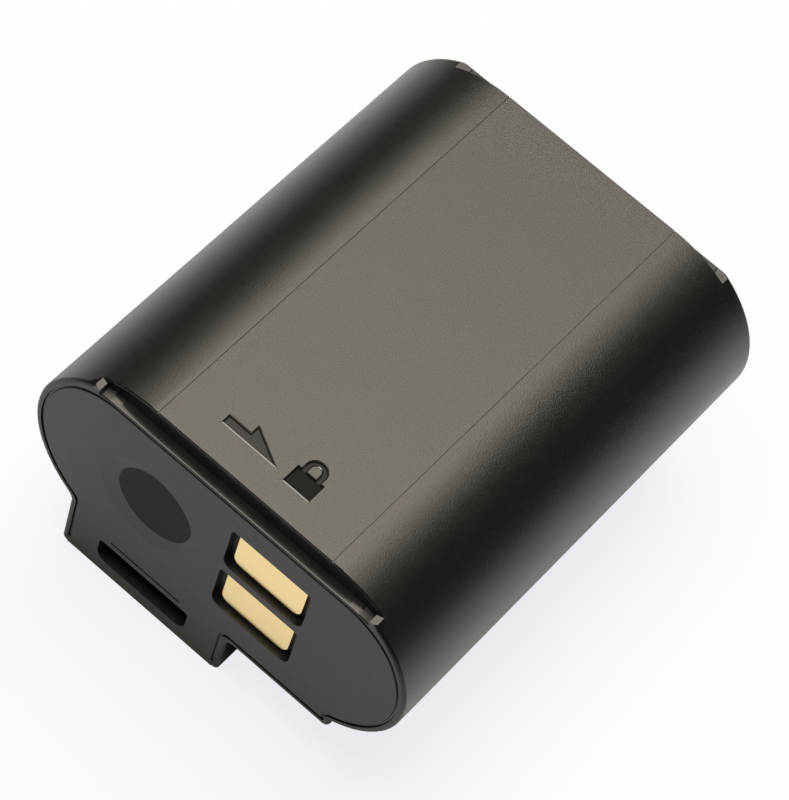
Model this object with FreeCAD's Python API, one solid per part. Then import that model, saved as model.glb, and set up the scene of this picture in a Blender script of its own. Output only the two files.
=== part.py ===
import FreeCAD, Part
import math
import os

# A rechargeable camera battery pack with two cylindrical cells side by side.
# X runs across the pack, Y from the contact end to the rear end, Z up. Sizes are in millimetres.
# The origin is under the middle of the pack, on the surface that its keel stands on.

# The two cells, which the pack is built around, and the room they have
CELL_RADIUS = 10.9
CELL_LENGTH = 43.0
CELL_GAP = 0.3
CELL_SPREAD = 0.4

# Outer form of the pack
LENGTH = 56.55
WALL = 1.7
KEEL_DROP = 6.9
KEEL_INSET = 6.35
KEEL_WIDTH = 21.55
KEEL_CORNER = 0.6
KEEL_BLEND = 1.5
KEEL_FLOOR = 1.0
HEEL_INSET = 6.6
HEEL_CORNER = 0.8
HEEL_BLEND = 1.0
INNER_CORNER = 0.25
FRONT_EDGE = 0.4
REAR_EDGE = 0.4

# Notches along the top edge of both ends
NOTCH_SETBACK = 1.22
NOTCH_DROP = 2.0
FRONT_LEDGE_DROP = 2.25
NUB_WIDTH = 0.75
LEDGE_EDGE = 0.15
LIP_EDGE = 0.12

# Fine mould lines where the flat top meets the lobes
MOULD_LINE_WIDTH = 0.14
MOULD_LINE_DEPTH = 0.12

# Rim round the covers, and the lintel and fins inside the front of the sleeve
RIM = 0.7
LEDGE_LIP = 0.25
LINTEL_HEIGHT = 1.0
LINTEL_DEPTH = 1.4
RIB_WIDTH = 1.2
RIB_DEPTH = 2.6
RIB_ANGLES = (-45.0, 0.0, 45.0)
RIB_FRONT_GAP = 0.4

# Covers, which fit closely in their seats, and the seam groove that shows round the contact cover
COVER_FIT = 0.06
SEAM_WIDTH = 0.3
SEAM_DEPTH = 0.2
SEAM_FOOT = 1.2
COVER_THICKNESS = 1.6
COVER_CORNER = 8.0
COVER_FOOT_GAP = 0.12
COVER_EDGE = 0.15

# Contact windows in the cover, the upper and the lower one, each with a raised contact inside
WINDOW_INSET = 5.26
WINDOW_DROP = 0.63
WINDOW_PITCH = 7.9
WINDOW_WIDTH = 10.2
WINDOW_HEIGHT = 6.8
WINDOW_DEPTH = 1.1
WINDOW_TOP_CORNER = 0.5
WINDOW_BOTTOM_CORNER = 1.2
CONTACT_MOAT = 0.7
CONTACT_SETBACK = 0.55
CONTACT_FIT = 0.05
CONTACT_EDGE = 0.12
FLANGE_LAP = 0.5
FLANGE_THICKNESS = 0.3

# Round dish in the cover, with a steep edge at its upper right and a gentle slope at its lower left
DISH_INSET = 2.04
DISH_DROP = 1.43
DISH_RADIUS = 6.0
DISH_FLOOR_SHIFT = 0.85
DISH_FLOOR_RADIUS = 4.7
DISH_DEPTH = 0.2

# Latch slot in the keel, with a fine groove above it and a closed pocket behind it
SLOT_INSET = 10.54
SLOT_WIDTH = 12.05
SLOT_HEIGHT = 3.5
SLOT_TOP_CORNER = 0.45
SLOT_BOTTOM_CORNER = 1.4
GROOVE_RISE = 0.8
GROOVE_LENGTH = 9.4
GROOVE_WIDTH = 0.28
GROOVE_DEPTH = 0.3
POCKET_WALL = 0.7
POCKET_GAP = 0.37
POCKET_DEPTH = 5.0

# Circuit board on two stakes of the cover
BOARD_REACH = 5.7
BOARD_MARGIN = 1.1
BOARD_THICKNESS = 1.0
BOARD_GAP = 0.4
STAKE_RADIUS = 0.8
STAKE_INSET = 1.5
STAKE_RISE = 6.0
STAKE_FIT = 0.1
STAKE_PROUD = 0.4
CHIP_THICKNESS = 1.1
CHIP_SPACING = 9.0
PROTECTION_CHIP_WIDTH = 3.0
PROTECTION_CHIP_HEIGHT = 4.4
SWITCH_CHIP_WIDTH = 5.0
SWITCH_CHIP_HEIGHT = 6.0

# Ends of the cells, their insulators and straps
CELL_EDGE = 0.6
BUTTON_RADIUS = 3.6
BUTTON_HEIGHT = 0.8
BEAD_OFFSET = 2.2
BEAD_WIDTH = 1.4
BEAD_DEPTH = 0.7
RING_CLEARANCE = 0.8
RING_MARGIN = 1.3
RING_THICKNESS = 0.4
STRAP_WIDTH = 7.0
STRAP_LAP = 3.5
STRAP_THICKNESS = 0.2
LEG_SPACING = 8.2
LEG_WIDTH = 4.0
CARD_THICKNESS = 0.3
LEG_SLOT_GAP = 0.3
PAD_THICKNESS = 1.2
PAD_MARGIN = 1.5

# Places that follow from the sizes above
FRONT = -LENGTH / 2
REAR = LENGTH / 2
BAY_RADIUS = CELL_RADIUS + CELL_GAP
LOBE_RADIUS = BAY_RADIUS + WALL
LOBE_X = CELL_RADIUS + CELL_SPREAD / 2
SIDE_X = LOBE_X + LOBE_RADIUS
UNDERSIDE_Z = KEEL_DROP
AXIS_Z = UNDERSIDE_Z + LOBE_RADIUS
TOP_Z = AXIS_Z + LOBE_RADIUS
KEEL_LEFT = KEEL_INSET - SIDE_X
KEEL_RIGHT = KEEL_LEFT + KEEL_WIDTH
HEEL_RIGHT = SIDE_X - HEEL_INSET
COVER_BACK = FRONT + COVER_THICKNESS
FRONT_LEDGE_Z = TOP_Z - FRONT_LEDGE_DROP
SEAT_TOP = FRONT_LEDGE_Z - LEDGE_LIP
REAR_COVER_FRONT = REAR - COVER_THICKNESS
WINDOW_X = LOBE_X - WINDOW_INSET
WINDOW_Z = AXIS_Z - WINDOW_DROP
DISH_X = DISH_INSET - LOBE_X
DISH_Z = AXIS_Z - DISH_DROP
CONTACT_WIDTH = WINDOW_WIDTH - 2 * CONTACT_MOAT
CONTACT_HEIGHT = WINDOW_HEIGHT - 2 * CONTACT_MOAT
CONTACT_FACE = FRONT + CONTACT_SETBACK
SLOT_X = KEEL_LEFT + SLOT_INSET
SLOT_BOTTOM = KEEL_FLOOR + POCKET_GAP + POCKET_WALL
SLOT_TOP = SLOT_BOTTOM + SLOT_HEIGHT
BOARD_LEFT = -LEG_SPACING / 2 - BOARD_MARGIN
BOARD_RIGHT = LOBE_X + BOARD_REACH
BOARD_FRONT = COVER_BACK + FLANGE_THICKNESS
BOARD_BACK = BOARD_FRONT + BOARD_THICKNESS
CELL_REAR = REAR_COVER_FRONT - PAD_THICKNESS - STRAP_THICKNESS
CELL_FRONT = CELL_REAR - CELL_LENGTH
CARD_BACK = CELL_FRONT - STRAP_THICKNESS
CARD_FRONT = CARD_BACK - CARD_THICKNESS
STAKE_Z = WINDOW_Z + STAKE_RISE
BEYOND = SIDE_X + TOP_Z

# Points closer than this are taken as the same place
SAME = 1e-3


def block(x0, x1, y0, y1, z0, z1):
    """A box between two corners."""
    return Part.makeBox(x1 - x0, y1 - y0, z1 - z0, FreeCAD.Vector(x0, y0, z0))


def edges_along_y(shape, spots):
    """The edges parallel to Y that pass through the given (x, z) spots."""
    found = []
    for edge in shape.Edges:
        first = edge.Vertexes[0].Point
        last = edge.Vertexes[-1].Point
        straight = abs(first.x - last.x) < SAME and abs(first.z - last.z) < SAME
        if straight and abs(first.y - last.y) > SAME:
            if any(math.hypot(first.x - x, first.z - z) < SAME for x, z in spots):
                found.append(edge)
    return found


def edges_in_plane(shape, y, lowest=-BEYOND, highest=BEYOND):
    """The edges that lie in the plane at y, between the given heights."""
    found = []
    for edge in shape.Edges:
        box = edge.BoundBox
        if abs(box.YMin - y) < SAME and abs(box.YMax - y) < SAME:
            if box.ZMin > lowest and box.ZMax < highest:
                found.append(edge)
    return found


def obround(radius, y0, y1):
    """A bar with the pack's two-lobe section, of the given lobe radius."""
    top = AXIS_Z + radius
    bottom = AXIS_Z - radius
    corners = [FreeCAD.Vector(x, y0, z) for x, z in
               ((-LOBE_X, top), (LOBE_X, top), (LOBE_X, bottom), (-LOBE_X, bottom))]
    right = FreeCAD.Vector(LOBE_X + radius, y0, AXIS_Z)
    left = FreeCAD.Vector(-LOBE_X - radius, y0, AXIS_Z)
    outline = [
        Part.LineSegment(corners[0], corners[1]).toShape(),
        Part.Arc(corners[1], right, corners[2]).toShape(),
        Part.LineSegment(corners[2], corners[3]).toShape(),
        Part.Arc(corners[3], left, corners[0]).toShape(),
    ]
    return Part.Face(Part.Wire(outline)).extrude(FreeCAD.Vector(0, y1 - y0, 0))


def lobe_underside(x, radius):
    """Height of a lobe's lower surface at a place across the pack."""
    return AXIS_Z - math.sqrt(radius ** 2 - (abs(x) - LOBE_X) ** 2)


def pack_bar(inset, y0, y1, keel_bottom):
    """A bar with the whole outline of the pack, lobes, keel and heel, drawn in by an inset."""
    radius = LOBE_RADIUS - inset
    left = KEEL_LEFT + inset
    right = KEEL_RIGHT - inset
    heel = HEEL_RIGHT - inset
    underside = UNDERSIDE_Z + inset
    keel = block(left, right, y0, y1, keel_bottom, AXIS_Z)
    heel_block = block(0, heel, y0, y1, underside, AXIS_Z)
    bar = obround(radius, y0, y1).fuse([keel, heel_block]).removeSplitter()
    keel_corner = max(KEEL_CORNER - inset, INNER_CORNER)
    bar = bar.makeFillet(keel_corner, edges_along_y(bar, [(left, keel_bottom), (right, keel_bottom)]))
    bar = bar.makeFillet(KEEL_BLEND, edges_along_y(bar, [(left, lobe_underside(left, radius))]))
    heel_corner = max(HEEL_CORNER - inset, INNER_CORNER)
    bar = bar.makeFillet(heel_corner, edges_along_y(bar, [(heel, underside)]))
    inner_corners = [(right, underside), (heel, lobe_underside(heel, radius))]
    return bar.makeFillet(HEEL_BLEND, edges_along_y(bar, inner_corners))


def cover_bar(inset, y0, y1, top, keel_bottom):
    """The contact cover's outline: the pack's outline with a flat top and large upper corners."""
    bar = pack_bar(inset, y0, y1, keel_bottom).cut(block(-BEYOND, BEYOND, y0, y1, top, BEYOND))
    reach = LOBE_X + math.sqrt((LOBE_RADIUS - inset) ** 2 - (top - AXIS_Z) ** 2)
    return bar.makeFillet(COVER_CORNER, edges_along_y(bar, [(-reach, top), (reach, top)]))


def notch_cut(y0, y1):
    """The space above the ledge that both ends have along their top edge."""
    return block(-BEYOND, BEYOND, y0, y1, TOP_Z - NOTCH_DROP, BEYOND)


def stop_ribs():
    """Fins in the front of each lobe that stop the card and the cells."""
    start = BOARD_BACK + RIB_FRONT_GAP
    half = RIB_WIDTH / 2
    fin = block(BAY_RADIUS - RIB_DEPTH, BAY_RADIUS + WALL / 2, start, CARD_FRONT, -half, half)
    ribs = []
    for side in (0.0, 180.0):
        for angle in RIB_ANGLES:
            rib = fin.copy()
            rib.rotate(FreeCAD.Vector(0, 0, 0), FreeCAD.Vector(0, -1, 0), side + angle)
            rib.translate(FreeCAD.Vector(LOBE_X if side == 0.0 else -LOBE_X, 0, AXIS_Z))
            ribs.append(rib)
    return ribs


def case_sleeve():
    """The moulded sleeve: hollow lobes over a hollow keel, seats for both covers, and end notches."""
    body = pack_bar(0, FRONT, REAR, 0)
    body = body.makeFillet(FRONT_EDGE, edges_in_plane(body, FRONT))
    body = body.makeFillet(REAR_EDGE, edges_in_plane(body, REAR))

    notch_back = FRONT + NOTCH_SETBACK
    notch_reach = LOBE_X + math.sqrt(LOBE_RADIUS ** 2 - (LOBE_RADIUS - NOTCH_DROP) ** 2)
    ledge_end = notch_reach - NUB_WIDTH
    ledge = cover_bar(RIM - LEDGE_LIP, FRONT, notch_back, FRONT_LEDGE_Z, 0)
    deep_notch = block(-ledge_end, ledge_end, FRONT, notch_back, AXIS_Z, BEYOND).cut(ledge)
    body = body.cut([notch_cut(FRONT, notch_back), notch_cut(REAR - NOTCH_SETBACK, REAR), deep_notch])
    body = body.makeFillet(LEDGE_EDGE, edges_in_plane(body, notch_back, TOP_Z - NOTCH_DROP))
    lip = edges_in_plane(body, FRONT, AXIS_Z, FRONT_LEDGE_Z + SAME)
    body = body.makeFillet(LIP_EDGE, lip)

    lintel_back = COVER_BACK + LINTEL_DEPTH
    lintel = block(-BEYOND, BEYOND, COVER_BACK, lintel_back, SEAT_TOP - LINTEL_HEIGHT, BEYOND)
    cell_bay = obround(BAY_RADIUS, COVER_BACK, REAR).cut(lintel)
    keel_tunnel = block(KEEL_LEFT + WALL, KEEL_RIGHT - WALL, FRONT, REAR, KEEL_FLOOR, UNDERSIDE_Z)
    cover_seat = cover_bar(RIM, FRONT, COVER_BACK, SEAT_TOP, -KEEL_CORNER)
    rear_seat = pack_bar(RIM, REAR_COVER_FRONT, REAR, RIM)
    body = body.cut([cell_bay, keel_tunnel, cover_seat, rear_seat])
    body = body.fuse(stop_ribs())

    half = MOULD_LINE_WIDTH / 2
    for x in (-LOBE_X, LOBE_X):
        body = body.cut(block(x - half, x + half, FRONT, REAR, TOP_Z - MOULD_LINE_DEPTH, BEYOND))
    return body.removeSplitter()


def window_centres():
    """Heights of the two contact windows, the upper one first."""
    return (WINDOW_Z + WINDOW_PITCH / 2, WINDOW_Z - WINDOW_PITCH / 2)


def tablet(x, z, width, height, y0, y1, top_corner, bottom_corner):
    """A bar along Y about the line at (x, z), with its own upper and lower corner radius."""
    x0 = x - width / 2
    x1 = x + width / 2
    z0 = z - height / 2
    z1 = z + height / 2
    bar = block(x0, x1, y0, y1, z0, z1)
    bar = bar.makeFillet(top_corner, edges_along_y(bar, [(x0, z1), (x1, z1)]))
    return bar.makeFillet(bottom_corner, edges_along_y(bar, [(x0, z0), (x1, z0)]))


def window_bar(z, inset, y0, y1):
    """A bar with a window's outline, drawn in by an inset."""
    width = WINDOW_WIDTH - 2 * inset
    height = WINDOW_HEIGHT - 2 * inset
    return tablet(WINDOW_X, z, width, height, y0, y1, WINDOW_TOP_CORNER, WINDOW_BOTTOM_CORNER)


def slot_bar(margin, y0, y1):
    """A bar with the latch slot's outline, grown by a margin."""
    z = (SLOT_BOTTOM + SLOT_TOP) / 2
    width = SLOT_WIDTH + 2 * margin
    height = SLOT_HEIGHT + 2 * margin
    return tablet(SLOT_X, z, width, height, y0, y1, SLOT_TOP_CORNER + margin, SLOT_BOTTOM_CORNER + margin)


def circle(x, y, z, radius):
    """A round outline that faces the contact end."""
    return Part.Wire(Part.makeCircle(radius, FreeCAD.Vector(x, y, z), FreeCAD.Vector(0, 1, 0)))


def stake_places():
    """Where the two stakes hold the board, left and right of the windows."""
    return (BOARD_LEFT + STAKE_INSET, BOARD_RIGHT - STAKE_INSET)


def contact_cover():
    """The inset cover with its windows, dish, latch slot with a pocket, and stakes for the board."""
    inset = RIM + COVER_FIT
    seam_back = FRONT + SEAM_DEPTH
    cover = cover_bar(inset, seam_back, COVER_BACK, SEAT_TOP - COVER_FIT, COVER_FOOT_GAP)
    face = cover_bar(RIM + SEAM_WIDTH, FRONT, seam_back, SEAT_TOP - SEAM_WIDTH, COVER_FOOT_GAP)
    face = face.makeFillet(COVER_EDGE, edges_in_plane(face, FRONT))
    sill = block(KEEL_LEFT + inset, KEEL_RIGHT - inset, FRONT, seam_back, COVER_FOOT_GAP, SEAM_FOOT)

    pocket_back = COVER_BACK + POCKET_DEPTH
    pocket = slot_bar(POCKET_WALL, COVER_BACK, pocket_back)
    stakes = []
    for x in stake_places():
        length = BOARD_BACK + STAKE_PROUD - COVER_BACK
        foot = FreeCAD.Vector(x, COVER_BACK, STAKE_Z)
        stakes.append(Part.makeCylinder(STAKE_RADIUS, length, foot, FreeCAD.Vector(0, 1, 0)))
    cover = cover.fuse([face, sill, pocket] + stakes)

    cuts = [slot_bar(0, FRONT, pocket_back - POCKET_WALL)]
    groove_half = GROOVE_LENGTH / 2
    groove_z = SLOT_TOP + GROOVE_RISE
    cuts.append(block(SLOT_X - groove_half, SLOT_X + groove_half, FRONT, FRONT + GROOVE_DEPTH,
                      groove_z, groove_z + GROOVE_WIDTH))
    for z in window_centres():
        cuts.append(window_bar(z, 0, FRONT, FRONT + WINDOW_DEPTH))
        cuts.append(window_bar(z, CONTACT_MOAT - CONTACT_FIT, FRONT, COVER_BACK))
    rim = circle(DISH_X, FRONT, DISH_Z, DISH_RADIUS)
    floor_x = DISH_X + DISH_FLOOR_SHIFT
    floor_z = DISH_Z + DISH_FLOOR_SHIFT
    floor = circle(floor_x, FRONT + DISH_DEPTH, floor_z, DISH_FLOOR_RADIUS)
    cuts.append(Part.makeLoft([rim, floor], True, True))
    return cover.cut(cuts).removeSplitter()


def rear_cover():
    """The plain cover that closes the rear end, with its share of the notch along the top."""
    inset = RIM + COVER_FIT
    cover = pack_bar(inset, REAR_COVER_FRONT, REAR, inset)
    return cover.cut(notch_cut(REAR - NOTCH_SETBACK, REAR))


def contact(z):
    """A gold-plated contact: a block that stands in its window, on a flange between cover and board."""
    pad = window_bar(z, CONTACT_MOAT, CONTACT_FACE, COVER_BACK)
    pad = pad.makeFillet(CONTACT_EDGE, edges_in_plane(pad, CONTACT_FACE))
    half_width = CONTACT_WIDTH / 2 + FLANGE_LAP
    half_height = CONTACT_HEIGHT / 2 + FLANGE_LAP
    flange = block(WINDOW_X - half_width, WINDOW_X + half_width, COVER_BACK, BOARD_FRONT,
                   z - half_height, z + half_height)
    return pad.fuse(flange).removeSplitter()


def circuit_board():
    """The protection board, held on the cover's two stakes, as high as its lobe's round wall allows."""
    half_height = math.sqrt((BAY_RADIUS - BOARD_GAP) ** 2 - BOARD_REACH ** 2) - WINDOW_DROP
    board = block(BOARD_LEFT, BOARD_RIGHT, BOARD_FRONT, BOARD_BACK,
                  WINDOW_Z - half_height, WINDOW_Z + half_height)
    for x in stake_places():
        foot = FreeCAD.Vector(x, BOARD_FRONT, STAKE_Z)
        hole = Part.makeCylinder(STAKE_RADIUS + STAKE_FIT, BOARD_THICKNESS, foot, FreeCAD.Vector(0, 1, 0))
        board = board.cut(hole)
    return board


def chip(x, width, height):
    """A moulded package on the back of the board."""
    return block(x - width / 2, x + width / 2, BOARD_BACK, BOARD_BACK + CHIP_THICKNESS,
                 WINDOW_Z - height / 2, WINDOW_Z + height / 2)


def cell(x, button_y, inward):
    """A sealed cylindrical cell, turned about its axis: can, crimp bead, shoulder and positive button.

    button_y is the button's outer face, and inward is the direction along Y from there into the can."""
    shoulder = BUTTON_HEIGHT
    bead = shoulder + BEAD_OFFSET
    half = [
        (0, 0),
        (BUTTON_RADIUS, 0),
        (BUTTON_RADIUS, shoulder),
        (CELL_RADIUS - CELL_EDGE, shoulder),
        (CELL_RADIUS, shoulder + CELL_EDGE),
        (CELL_RADIUS, bead),
        (CELL_RADIUS - BEAD_DEPTH, bead + BEAD_WIDTH / 2),
        (CELL_RADIUS, bead + BEAD_WIDTH),
        (CELL_RADIUS, CELL_LENGTH - CELL_EDGE),
        (CELL_RADIUS - CELL_EDGE, CELL_LENGTH),
        (0, CELL_LENGTH),
    ]
    points = [FreeCAD.Vector(x + radius, button_y + inward * depth, AXIS_Z) for radius, depth in half]
    face = Part.Face(Part.makePolygon(points + points[:1]))
    return face.revolve(FreeCAD.Vector(x, 0, AXIS_Z), FreeCAD.Vector(0, 1, 0), 360)


def insulator_ring(x, button_y, inward):
    """A paper ring on the shoulder round a cell's button."""
    base = button_y + inward * BUTTON_HEIGHT
    towards_button = FreeCAD.Vector(0, -inward, 0)
    foot = FreeCAD.Vector(x, base, AXIS_Z)
    outer = Part.makeCylinder(CELL_RADIUS - RING_MARGIN, RING_THICKNESS, foot, towards_button)
    hole = Part.makeCylinder(BUTTON_RADIUS + RING_CLEARANCE, RING_THICKNESS, foot, towards_button)
    return outer.cut(hole)


def link_strap():
    """The nickel strip that joins the two cells at the rear."""
    half_width = STRAP_WIDTH / 2
    reach = LOBE_X + STRAP_LAP
    return block(-reach, reach, CELL_REAR, CELL_REAR + STRAP_THICKNESS,
                 AXIS_Z - half_width, AXIS_Z + half_width)


def tab(side):
    """A nickel tab: a flat foot on the cell's front end and a leg bent forward to the back of the board."""
    half_width = STRAP_WIDTH / 2
    leg_x = side * LEG_SPACING / 2
    ends = sorted((side * (LOBE_X + STRAP_LAP), leg_x))
    foot = block(ends[0], ends[1], CARD_BACK, CELL_FRONT, AXIS_Z - half_width, AXIS_Z + half_width)
    sides = sorted((leg_x, leg_x + side * STRAP_THICKNESS))
    half_leg = LEG_WIDTH / 2
    leg = block(sides[0], sides[1], BOARD_BACK, CELL_FRONT, AXIS_Z - half_leg, AXIS_Z + half_leg)
    return foot.fuse(leg).removeSplitter()


def front_insulator():
    """The card between the tabs and the board, with a slot for each tab's leg."""
    card = obround(CELL_RADIUS, CARD_FRONT, CARD_BACK)
    half_slot = LEG_WIDTH / 2 + LEG_SLOT_GAP
    for side in (-1, 1):
        leg_x = side * LEG_SPACING / 2
        sides = sorted((leg_x - side * LEG_SLOT_GAP, leg_x + side * (STRAP_THICKNESS + LEG_SLOT_GAP)))
        leg_slot = block(sides[0], sides[1], CARD_FRONT, CARD_BACK, AXIS_Z - half_slot, AXIS_Z + half_slot)
        card = card.cut(leg_slot)
    return card


def rear_pad():
    """The foam pad between the link strap and the rear cover."""
    return obround(CELL_RADIUS - PAD_MARGIN, CELL_REAR + STRAP_THICKNESS, REAR_COVER_FRONT)


def build():
    """Every piece of the pack, by name."""
    upper, lower = window_centres()
    left = -LOBE_X
    right = LOBE_X
    chip_left = WINDOW_X - CHIP_SPACING / 2
    chip_right = WINDOW_X + CHIP_SPACING / 2
    return {
        "case_sleeve": case_sleeve(),
        "contact_cover": contact_cover(),
        "rear_cover": rear_cover(),
        "contact_positive": contact(upper),
        "contact_negative": contact(lower),
        "circuit_board": circuit_board(),
        "protection_chip": chip(chip_left, PROTECTION_CHIP_WIDTH, PROTECTION_CHIP_HEIGHT),
        "switch_chip": chip(chip_right, SWITCH_CHIP_WIDTH, SWITCH_CHIP_HEIGHT),
        "cell_left": cell(left, CELL_REAR, -1),
        "cell_right": cell(right, CELL_FRONT, 1),
        "insulator_ring_left": insulator_ring(left, CELL_REAR, -1),
        "insulator_ring_right": insulator_ring(right, CELL_FRONT, 1),
        "link_strap": link_strap(),
        "tab_negative": tab(-1),
        "tab_positive": tab(1),
        "front_insulator": front_insulator(),
        "rear_pad": rear_pad(),
    }


os.makedirs("parts", exist_ok=True)
for name, shape in build().items():
    shape.exportStep(os.path.join("parts", name + ".step"))
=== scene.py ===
import bmesh
import bpy
import math
from mathutils import Matrix, Vector


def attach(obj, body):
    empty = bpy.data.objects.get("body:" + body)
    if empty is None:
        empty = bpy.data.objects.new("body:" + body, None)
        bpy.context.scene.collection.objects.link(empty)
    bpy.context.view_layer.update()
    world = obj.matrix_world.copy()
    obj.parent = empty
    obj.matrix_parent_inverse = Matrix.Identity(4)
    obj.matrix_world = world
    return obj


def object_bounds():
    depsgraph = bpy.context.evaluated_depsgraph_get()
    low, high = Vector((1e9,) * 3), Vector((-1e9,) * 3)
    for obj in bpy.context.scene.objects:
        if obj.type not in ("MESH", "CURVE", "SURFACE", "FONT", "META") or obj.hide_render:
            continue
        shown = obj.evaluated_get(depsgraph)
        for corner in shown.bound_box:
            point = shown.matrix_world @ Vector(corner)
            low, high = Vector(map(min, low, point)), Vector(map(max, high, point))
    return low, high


# A moulded two-lobe camera battery pack on a white floor, seen from above and from its contact end.
# Sizes and places are in metres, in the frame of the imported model.

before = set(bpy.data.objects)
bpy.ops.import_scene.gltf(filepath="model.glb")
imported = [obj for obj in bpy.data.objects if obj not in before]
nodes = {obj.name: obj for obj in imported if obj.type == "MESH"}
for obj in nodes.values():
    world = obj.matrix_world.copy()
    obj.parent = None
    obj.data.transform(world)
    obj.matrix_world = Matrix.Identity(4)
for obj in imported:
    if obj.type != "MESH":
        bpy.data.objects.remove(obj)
cad_low, cad_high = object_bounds()

MM = 0.001

# Camera, as fitted to the photograph
IMAGE_HEIGHT = 800
FOCAL_PIXELS = 3513.1
SENSOR = 36.0
NEAREST = 0.01
FARTHEST = 20.0
CAMERA_PLACE = Vector((71.831, -176.297, 320.676)) * MM
CAMERA_AZIMUTH = math.radians(22.158)
CAMERA_ELEVATION = math.radians(57.944)
CAMERA_ROLL = math.radians(21.004)

# Faces of the pack that the places below are measured from
TOP_Z = cad_high.z
FRONT_Y = cad_low.y

# Engraved signs on the flat top, each with a shallow bevel that is polished where it leans to the near
# side, a painted highlight; their floors reflect less, a painted shade
SIGN_DEPTH = 0.22 * MM
BEVEL_WIDTH = 0.14 * MM
BEVEL_SLOPE = 0.38
BEVEL_RUNOUT = 0.06 * MM
BEVEL_LEAN = 0.1
SHARPEST_CORNER = 0.2
ARC_STEPS = 24
ARROW_TAIL_X = -6.28 * MM
ARROW_NECK_X = -3.5 * MM
ARROW_TIP_X = 1.0 * MM
ARROW_EDGE_Y = FRONT_Y + 4.89 * MM
ARROW_SHAFT_Y = FRONT_Y + 6.18 * MM
ARROW_BARB_Y = FRONT_Y + 7.34 * MM
LOCK_X = 3.65 * MM
LOCK_HALF_WIDTH = 1.69 * MM
LOCK_LOW_Y = FRONT_Y + 4.36 * MM
LOCK_HIGH_Y = FRONT_Y + 6.8 * MM
SHACKLE_Y = FRONT_Y + 7.42 * MM
SHACKLE_OUTER = 1.28 * MM
SHACKLE_INNER = 0.55 * MM
SHACKLE_SILL = 0.3 * MM

# Floor of the dish, behind the contact cover's face, made dark as painted shade
DISH_X = -8.21 * MM
DISH_Z = 19.22 * MM
DISH_RADIUS = 4.7 * MM
DISH_FLOOR_Y = FRONT_Y + 0.2 * MM
SAME_PLANE = 0.01 * MM

# Smooth faces at the sleeve's front edge: the notch, its lip, made more reflective as a painted highlight,
# and the rim round the contact cover, made dull as painted shade
NOTCH_Y = FRONT_Y + 1.4 * MM
NOTCH_Z = TOP_Z - 2.35 * MM
LIP_Y = FRONT_Y + 0.13 * MM
RIM_Y = FRONT_Y + 0.4 * MM

# Plastics without grain: refractive index, lighter colour, least and most roughness
BARE_PLASTICS = {
    # painted highlight: the near bevels of the signs, polished and more reflective
    "sign_bevel_highlight": (1.63, (0.012, 0.011, 0.010), 0.12, 0.18),
    # painted shade: the sign floors, each made to reflect less by its own amount
    "sign_arrow": (1.28, (0.02, 0.019, 0.018), 0.26, 0.36),
    "sign_lock": (1.12, (0.014, 0.013, 0.012), 0.26, 0.36),
    "sign_shackle": (1.2, (0.03, 0.028, 0.027), 0.26, 0.36),
    # painted shade: the dish floor, reflecting little
    "dish_painted_shade": (1.16, (0.018, 0.017, 0.016), 0.34, 0.46),
    "notch_plastic": (1.5, (0.013, 0.012, 0.010), 0.17, 0.21),
    # painted highlight: the lip, more reflective than the sleeve
    "lip_painted_highlight": (1.75, (0.013, 0.012, 0.010), 0.15, 0.2),
    # painted shade: the rim, less reflective than the cover
    "rim_painted_shade": (1.42, (0.013, 0.012, 0.010), 0.3, 0.4),
}
BARE_DARK = (0.006, 0.006, 0.006)
CLOUD_SCALE = 450.0

# Grained plastic of the sleeve and satin plastic of the covers
CASE_IOR = 1.63
CASE_COLOURS = ((0.007, 0.007, 0.006), (0.013, 0.012, 0.010))
CASE_GRAIN_SCALE = 7000.0
CASE_GRAIN_DEPTH = 0.06 * MM
COVER_IOR = 1.475
COVER_COLOURS = ((0.014, 0.014, 0.014), (0.022, 0.021, 0.020))
COVER_GRAIN_SCALE = 6000.0
COVER_GRAIN_DEPTH = 0.02 * MM

# Metals: darker and lighter colour, least and most roughness, scale of the wear
METALS = {
    "contact_gold": ((1.0, 0.77, 0.35), (1.0, 0.82, 0.42), 0.18, 0.26, 700.0),
    "cell_can": ((0.52, 0.52, 0.50), (0.66, 0.66, 0.64), 0.25, 0.4, 800.0),
    "strap_nickel": ((0.60, 0.58, 0.53), (0.74, 0.72, 0.67), 0.3, 0.45, 1200.0),
}
METAL_RELIEF = 0.02 * MM

# Plain materials inside: darker and lighter colour, mean roughness, scale of the clouds, depth of relief
PLAINS = {
    "board_laminate": ((0.02, 0.12, 0.05), (0.03, 0.17, 0.07), 0.35, 900.0, 0.02 * MM),
    "chip_resin": ((0.016, 0.016, 0.016), (0.03, 0.03, 0.03), 0.6, 2000.0, 0.02 * MM),
    "insulator_paper": ((0.62, 0.55, 0.40), (0.74, 0.68, 0.52), 0.85, 1500.0, 0.03 * MM),
    "pad_foam": ((0.05, 0.05, 0.05), (0.11, 0.11, 0.11), 0.9, 1800.0, 0.1 * MM),
}
PLAIN_VARIES = 0.06

# Soft lamps and the dim room
SOFTBOX_PLACE = (-0.127, 0.13, 0.63)
SOFTBOX_AIM = (-0.127, 0.13, 0.0)
SOFTBOX_SIZE = (0.483, 0.812)
SOFTBOX_POWER = 5.98
SOFTBOX_COLOUR = (1.0, 0.91, 0.79)
STRIP_PLACE = (-0.12, 0.7, 0.3)
STRIP_AIM = (0, 0, TOP_Z / 2)
STRIP_SIZE = (0.3, 0.1)
STRIP_POWER = 0.7
STRIP_COLOUR = (1.0, 0.96, 0.9)
ROOM_COLOUR = (1.0, 0.98, 0.95, 1.0)
ROOM_LIGHT = 0.03
WHITE = (1.0, 1.0, 1.0, 1.0)

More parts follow.
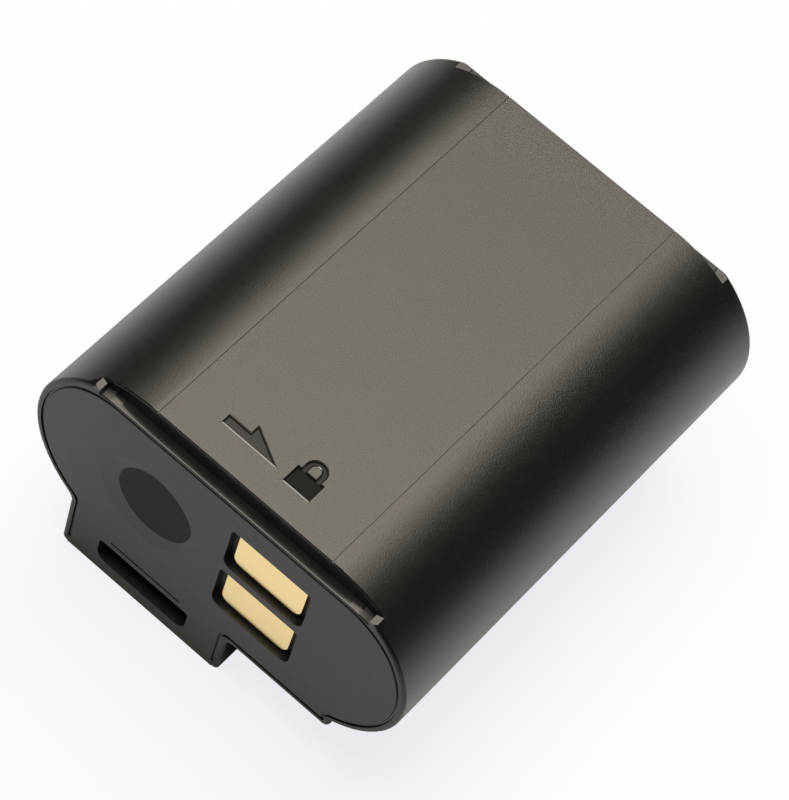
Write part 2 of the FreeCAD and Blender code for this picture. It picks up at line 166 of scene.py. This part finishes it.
# Floor: size, middle, colour and white, how much of its white the camera and gloss see, shade near the pack
FLOOR_SIZE = 0.36
FLOOR_X = -0.03
FLOOR_COLOUR = (0.85, 0.85, 0.84, 1.0)
FLOOR_WHITE = (1.0, 1.0, 1.04, 1.0)
FLOOR_GLOW = 1.02
VIEW_SHARE = 0.8
GLOSS_SHARE = 0.57
SHADE_REACH = 7 * MM


def node_material(name):
    """A new material, its node tree and its surface shader."""
    material = bpy.data.materials.new(name)
    material.use_nodes = True
    tree = material.node_tree
    return material, tree, tree.nodes["Principled BSDF"]


def noise(tree, scale, detail=2.0, roughness=0.5):
    """Noise in an object's own coordinates, with features of about one over scale metres."""
    place = tree.nodes.new("ShaderNodeTexCoord")
    texture = tree.nodes.new("ShaderNodeTexNoise")
    texture.inputs["Scale"].default_value = scale
    texture.inputs["Detail"].default_value = detail
    texture.inputs["Roughness"].default_value = roughness
    tree.links.new(place.outputs["Object"], texture.inputs["Vector"])
    return texture.outputs["Fac"]


def spread(tree, value, low, high):
    """A value from 0 to 1 brought to the range from low to high."""
    ramp = tree.nodes.new("ShaderNodeMapRange")
    ramp.inputs["To Min"].default_value = low
    ramp.inputs["To Max"].default_value = high
    tree.links.new(value, ramp.inputs["Value"])
    return ramp.outputs["Result"]


def tinted(tree, value, dark, light):
    """A colour between two others, by a value from 0 to 1."""
    ramp = tree.nodes.new("ShaderNodeValToRGB")
    ramp.color_ramp.elements[0].color = (*dark, 1.0)
    ramp.color_ramp.elements[1].color = (*light, 1.0)
    tree.links.new(value, ramp.inputs["Fac"])
    return ramp.outputs["Color"]


def bumped(tree, shader, height, distance, strength):
    """Fine relief on a shader, from a height of 0 to 1."""
    bump = tree.nodes.new("ShaderNodeBump")
    bump.inputs["Distance"].default_value = distance
    bump.inputs["Strength"].default_value = strength
    tree.links.new(height, bump.inputs["Height"])
    tree.links.new(bump.outputs["Normal"], shader.inputs["Normal"])


def case_material():
    """Black moulded plastic with a fine eroded grain."""
    material, tree, shader = node_material("case_plastic")
    shader.inputs["IOR"].default_value = CASE_IOR
    mottle = noise(tree, 900.0, 4.0, 0.6)
    colour = tinted(tree, mottle, *CASE_COLOURS)
    tree.links.new(colour, shader.inputs["Base Color"])
    tree.links.new(spread(tree, mottle, 0.28, 0.36), shader.inputs["Roughness"])
    bumped(tree, shader, noise(tree, CASE_GRAIN_SCALE, 3.0, 0.6), CASE_GRAIN_DEPTH, 0.6)
    return material


def bare_material(name):
    """One of the plastics without grain, faintly cloudy."""
    ior, light, rough_low, rough_high = BARE_PLASTICS[name]
    material, tree, shader = node_material(name)
    shader.inputs["IOR"].default_value = ior
    cloud = noise(tree, CLOUD_SCALE)
    tree.links.new(tinted(tree, cloud, BARE_DARK, light), shader.inputs["Base Color"])
    tree.links.new(spread(tree, cloud, rough_low, rough_high), shader.inputs["Roughness"])
    return material


def cover_material():
    """Black plastic with a satin face."""
    material, tree, shader = node_material("cover_plastic")
    shader.inputs["IOR"].default_value = COVER_IOR
    mottle = noise(tree, 1400.0, 3.0)
    colour = tinted(tree, mottle, *COVER_COLOURS)
    tree.links.new(colour, shader.inputs["Base Color"])
    tree.links.new(spread(tree, mottle, 0.36, 0.48), shader.inputs["Roughness"])
    bumped(tree, shader, noise(tree, COVER_GRAIN_SCALE), COVER_GRAIN_DEPTH, 0.35)
    return material


def add_bare_plastic(mesh, plastic_or_painted_light):
    """Adds one of the plastics without grain to a mesh, and tells its slot."""
    mesh.materials.append(bare_material(plastic_or_painted_light))
    return len(mesh.materials) - 1


def paint(name, plastic_or_painted_light, chosen):
    """Gives a plastic of its own to the faces of a CAD node whose centres are chosen: a smoother finish for
    the notch, painted highlight for the lip and painted shade for the rim and the dish floor.
    """
    mesh = nodes[name].data
    slot = add_bare_plastic(mesh, plastic_or_painted_light)
    for face in mesh.polygons:
        if chosen(face.center):
            face.material_index = slot


def on_dish_floor(place):
    """Whether a place is on the floor of the cover's dish."""
    from_centre = math.hypot(place.x - DISH_X, place.z - DISH_Z)
    return from_centre < DISH_RADIUS and abs(place.y - DISH_FLOOR_Y) < SAME_PLANE


def in_notch(place):
    """Whether a place is in the notch along the sleeve's front edge."""
    return LIP_Y < place.y < NOTCH_Y and place.z > NOTCH_Z


def on_lip(place):
    """Whether a place is on the lip in front of the notch."""
    return place.y < LIP_Y and place.z > NOTCH_Z


def on_rim(place):
    """Whether a place is on the rim round the contact cover."""
    return place.y < RIM_Y and place.z < NOTCH_Z


def metal_material(name):
    """One of the plated or rolled metals, with faint cloudy wear."""
    dark, light, rough_low, rough_high, scale = METALS[name]
    material, tree, shader = node_material(name)
    shader.inputs["Metallic"].default_value = 1.0
    cloud = noise(tree, scale, 4.0, 0.6)
    tree.links.new(tinted(tree, cloud, dark, light), shader.inputs["Base Color"])
    tree.links.new(spread(tree, cloud, rough_low, rough_high), shader.inputs["Roughness"])
    bumped(tree, shader, noise(tree, 5 * scale), METAL_RELIEF, 0.3)
    return material


def plain_material(name):
    """One of the plain materials, with cloudy colour and fine relief."""
    dark, light, roughness, scale, relief = PLAINS[name]
    material, tree, shader = node_material(name)
    cloud = noise(tree, scale, 4.0, 0.6)
    tree.links.new(tinted(tree, cloud, dark, light), shader.inputs["Base Color"])
    rough = spread(tree, cloud, roughness - PLAIN_VARIES, roughness + PLAIN_VARIES)
    tree.links.new(rough, shader.inputs["Roughness"])
    bumped(tree, shader, noise(tree, 4 * scale), relief, 0.5)
    return material


def dress(material, *names):
    """Gives one material to each of the CAD nodes named."""
    for name in names:
        mesh = nodes[name].data
        mesh.materials.clear()
        mesh.materials.append(material)


def drawn_in(outline, distance):
    """An outline of (x, y) points that run counter-clockwise, with its sides moved inwards."""
    moved = []
    for i, point in enumerate(outline):
        here = Vector(point)
        to_here = (here - Vector(outline[i - 1])).normalized()
        onward = (Vector(outline[(i + 1) % len(outline)]) - here).normalized()
        side = Vector((-to_here.y, to_here.x))
        inwards = (side + Vector((-onward.y, onward.x))).normalized()
        moved.append(here + inwards * distance / max(inwards.dot(side), SHARPEST_CORNER))
    return moved


def sign_cutter(name, outline, highlight_bevel_slot, shaded_floor_slot):
    """A closed cutter with upright walls and a shallow bevel that runs out above the flat top."""
    inner = drawn_in(outline, BEVEL_WIDTH)
    outer = drawn_in(outline, -BEVEL_RUNOUT)
    levels = (
        (inner, TOP_Z - SIGN_DEPTH),
        (inner, TOP_Z - BEVEL_WIDTH * BEVEL_SLOPE),
        (outer, TOP_Z + BEVEL_RUNOUT * BEVEL_SLOPE),
    )
    mesh = bmesh.new()
    loops = [[mesh.verts.new((x, y, z)) for x, y in points] for points, z in levels]
    mesh.faces.new(loops[0])
    mesh.faces.new(loops[2])
    for i in range(len(outline)):
        for low, high in zip(loops, loops[1:]):
            mesh.faces.new((low[i - 1], low[i], high[i], high[i - 1]))
    bmesh.ops.recalc_face_normals(mesh, faces=mesh.faces)
    for face in mesh.faces:
        # bevel faces that lean to the near side get the polished plastic, a painted highlight; the rest get
        # the floor's painted shade
        gets_highlight = face.normal.z < -BEVEL_LEAN and face.normal.y < -BEVEL_LEAN
        face.material_index = highlight_bevel_slot if gets_highlight else shaded_floor_slot
    data = bpy.data.meshes.new(name)
    mesh.to_mesh(data)
    mesh.free()
    piece = bpy.data.objects.new(name, data)
    bpy.context.scene.collection.objects.link(piece)
    return piece


def arc(x, y, radius, start, end):
    """Points along an arc, angles in degrees from +X."""
    turns = [math.radians(start + (end - start) * i / ARC_STEPS) for i in range(ARC_STEPS + 1)]
    return [(x + radius * math.cos(t), y + radius * math.sin(t)) for t in turns]


def sign_outlines():
    """Name, outline and floor plastic, made dark as painted shade, of the half arrow, the padlock's body
    and its shackle.
    """
    arrow = [
        (ARROW_TAIL_X, ARROW_EDGE_Y),
        (ARROW_TIP_X, ARROW_EDGE_Y),
        (ARROW_NECK_X, ARROW_BARB_Y),
        (ARROW_NECK_X, ARROW_SHAFT_Y),
        (ARROW_TAIL_X, ARROW_SHAFT_Y),
    ]
    body = [
        (LOCK_X - LOCK_HALF_WIDTH, LOCK_LOW_Y),
        (LOCK_X + LOCK_HALF_WIDTH, LOCK_LOW_Y),
        (LOCK_X + LOCK_HALF_WIDTH, LOCK_HIGH_Y),
        (LOCK_X - LOCK_HALF_WIDTH, LOCK_HIGH_Y),
    ]
    outer = arc(LOCK_X, SHACKLE_Y, SHACKLE_OUTER, 0, 180)
    inner = arc(LOCK_X, SHACKLE_Y, SHACKLE_INNER, 180, 0)
    foot = LOCK_HIGH_Y - SHACKLE_SILL
    legs_left = [(LOCK_X - SHACKLE_OUTER, foot), (LOCK_X - SHACKLE_INNER, foot)]
    legs_right = [(LOCK_X + SHACKLE_INNER, foot), (LOCK_X + SHACKLE_OUTER, foot)]
    shackle = outer + legs_left + inner + legs_right
    return (
        ("cut_arrow", arrow, "sign_arrow"),
        ("cut_lock", body, "sign_lock"),
        ("cut_shackle", shackle, "sign_shackle"),
    )


def engrave_signs():
    """Cuts the signs into the sleeve's flat top, with near bevels polished for a painted highlight and
    floors dulled as painted shade.
    """
    sleeve = nodes["case_sleeve"]
    highlight_bevel_slot = add_bare_plastic(sleeve.data, "sign_bevel_highlight")
    for name, outline, plastic_or_painted_light in sign_outlines():
        cutter = sign_cutter(name, outline, highlight_bevel_slot, add_bare_plastic(sleeve.data, plastic_or_painted_light))
        for material in sleeve.data.materials:
            cutter.data.materials.append(material)
        cutter.hide_render = True
        cutter.hide_viewport = True
        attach(cutter, "root")
        cut = sleeve.modifiers.new(name, "BOOLEAN")
        cut.operation = "DIFFERENCE"
        cut.solver = "EXACT"
        cut.object = cutter


def maths(tree, operation, first, second):
    """What a maths node makes of two values, the second of them an output or a number."""
    node = tree.nodes.new("ShaderNodeMath")
    node.operation = operation
    tree.links.new(first, node.inputs[0])
    if isinstance(second, float):
        node.inputs[1].default_value = second
    else:
        tree.links.new(second, node.inputs[1])
    return node.outputs["Value"]


def clear_of_painted_shadow(tree):
    """0 on the floor under the pack, rising to 1 a little way from it: a painted shadow in the white that
    gloss sees.
    """
    place = tree.nodes.new("ShaderNodeTexCoord")
    axes = tree.nodes.new("ShaderNodeSeparateXYZ")
    tree.links.new(place.outputs["Object"], axes.inputs["Vector"])
    clear = []
    for axis, centre, edge in (("X", -FLOOR_X, cad_high.x), ("Y", 0.0, cad_high.y)):
        ramp = tree.nodes.new("ShaderNodeMapRange")
        ramp.inputs["From Min"].default_value = edge
        ramp.inputs["From Max"].default_value = edge + SHADE_REACH
        from_centre = maths(tree, "SUBTRACT", axes.outputs[axis], centre)
        tree.links.new(maths(tree, "ABSOLUTE", from_centre, 0.0), ramp.inputs["Value"])
        clear.append(ramp.outputs["Result"])
    return maths(tree, "MAXIMUM", clear[0], clear[1])


def floor_material():
    """A pale floor that keeps the shadow, and that the camera and partly gloss see as white, with gloss
    seeing a painted shadow near the pack.
    """
    material, tree, shader = node_material("floor_paper")
    shader.inputs["Base Color"].default_value = FLOOR_COLOUR
    shader.inputs["Roughness"].default_value = 0.9
    shader.inputs["Specular IOR Level"].default_value = 0.1
    path = tree.nodes.new("ShaderNodeLightPath")
    in_view = maths(tree, "MULTIPLY", path.outputs["Is Camera Ray"], VIEW_SHARE)
    in_gloss = maths(tree, "MULTIPLY", path.outputs["Is Glossy Ray"], GLOSS_SHARE)
    # gloss sees the floor's white fade out near the pack, a painted shadow
    share = maths(tree, "ADD", in_view, maths(tree, "MULTIPLY", in_gloss, clear_of_painted_shadow(tree)))
    glow = tree.nodes.new("ShaderNodeEmission")
    glow.inputs["Color"].default_value = FLOOR_WHITE
    glow.inputs["Strength"].default_value = FLOOR_GLOW
    mix = tree.nodes.new("ShaderNodeMixShader")
    tree.links.new(share, mix.inputs["Fac"])
    tree.links.new(shader.outputs["BSDF"], mix.inputs[1])
    tree.links.new(glow.outputs["Emission"], mix.inputs[2])
    tree.links.new(mix.outputs["Shader"], tree.nodes["Material Output"].inputs["Surface"])
    return material


def add_floor():
    """A plain white table top under the keel, wide enough for the shadow."""
    bpy.ops.mesh.primitive_plane_add(size=FLOOR_SIZE, location=(FLOOR_X, 0, cad_low.z))
    floor = bpy.context.object
    floor.name = "floor"
    floor.data.materials.append(floor_material())


def add_lamp(name, place, aim, size, power, colour):
    """A rectangular soft lamp aimed at a point, with its width and depth as its size."""
    data = bpy.data.lights.new(name, "AREA")
    data.shape = "RECTANGLE"
    data.size = size[0]
    data.size_y = size[1]
    data.energy = power
    data.color = colour
    lamp = bpy.data.objects.new(name, data)
    lamp.location = place
    lamp.rotation_euler = (Vector(place) - Vector(aim)).to_track_quat("Z", "Y").to_euler()
    lamp.visible_camera = False
    bpy.context.scene.collection.objects.link(lamp)


def add_lights():
    """One large soft box overhead and a low strip behind."""
    add_lamp("softbox", SOFTBOX_PLACE, SOFTBOX_AIM, SOFTBOX_SIZE, SOFTBOX_POWER, SOFTBOX_COLOUR)
    add_lamp("back_strip", STRIP_PLACE, STRIP_AIM, STRIP_SIZE, STRIP_POWER, STRIP_COLOUR)


def add_room():
    """A dim room that the camera sees as white."""
    world = bpy.data.worlds.new("room")
    world.use_nodes = True
    tree = world.node_tree
    room = tree.nodes["Background"]
    room.inputs["Color"].default_value = ROOM_COLOUR
    room.inputs["Strength"].default_value = ROOM_LIGHT
    white = tree.nodes.new("ShaderNodeBackground")
    white.inputs["Color"].default_value = WHITE
    white.inputs["Strength"].default_value = 1.0
    path = tree.nodes.new("ShaderNodeLightPath")
    mix = tree.nodes.new("ShaderNodeMixShader")
    tree.links.new(path.outputs["Is Camera Ray"], mix.inputs["Fac"])
    tree.links.new(room.outputs["Background"], mix.inputs[1])
    tree.links.new(white.outputs["Background"], mix.inputs[2])
    tree.links.new(mix.outputs["Shader"], tree.nodes["World Output"].inputs["Surface"])
    bpy.context.scene.world = world


def add_camera():
    """The photograph's camera: place, direction and roll."""
    data = bpy.data.cameras.new("camera")
    data.sensor_fit = "VERTICAL"
    data.sensor_height = SENSOR
    data.lens = FOCAL_PIXELS * SENSOR / IMAGE_HEIGHT
    data.clip_start = NEAREST
    data.clip_end = FARTHEST
    sin_az = math.sin(CAMERA_AZIMUTH)
    cos_az = math.cos(CAMERA_AZIMUTH)
    sin_el = math.sin(CAMERA_ELEVATION)
    cos_el = math.cos(CAMERA_ELEVATION)
    back = Vector((sin_az * cos_el, -cos_az * cos_el, sin_el))
    level = Vector((cos_az, sin_az, 0))
    upright = Vector((-sin_az * sin_el, cos_az * sin_el, cos_el))
    right = level * math.cos(CAMERA_ROLL) + upright * math.sin(CAMERA_ROLL)
    up = upright * math.cos(CAMERA_ROLL) - level * math.sin(CAMERA_ROLL)
    turn = Matrix((right, up, back)).transposed().to_4x4()
    camera = bpy.data.objects.new("camera", data)
    camera.matrix_world = Matrix.Translation(CAMERA_PLACE) @ turn
    bpy.context.scene.collection.objects.link(camera)
    bpy.context.scene.camera = camera


dress(case_material(), "case_sleeve")
dress(cover_material(), "contact_cover", "rear_cover")
# painted shade: the dish floor made dark
paint("contact_cover", "dish_painted_shade", on_dish_floor)
dress(metal_material("contact_gold"), "contact_positive", "contact_negative")
dress(metal_material("cell_can"), "cell_left", "cell_right")
dress(metal_material("strap_nickel"), "link_strap", "tab_negative", "tab_positive")
dress(plain_material("board_laminate"), "circuit_board")
dress(plain_material("chip_resin"), "protection_chip", "switch_chip")
dress(plain_material("insulator_paper"), "insulator_ring_left", "insulator_ring_right", "front_insulator")
dress(plain_material("pad_foam"), "rear_pad")
engrave_signs()
paint("case_sleeve", "notch_plastic", in_notch)
# painted highlight on the lip
paint("case_sleeve", "lip_painted_highlight", on_lip)
# painted shade on the rim
paint("case_sleeve", "rim_painted_shade", on_rim)
add_floor()
add_lights()
add_room()
add_camera()
bpy.context.scene.view_settings.view_transform = "Standard"
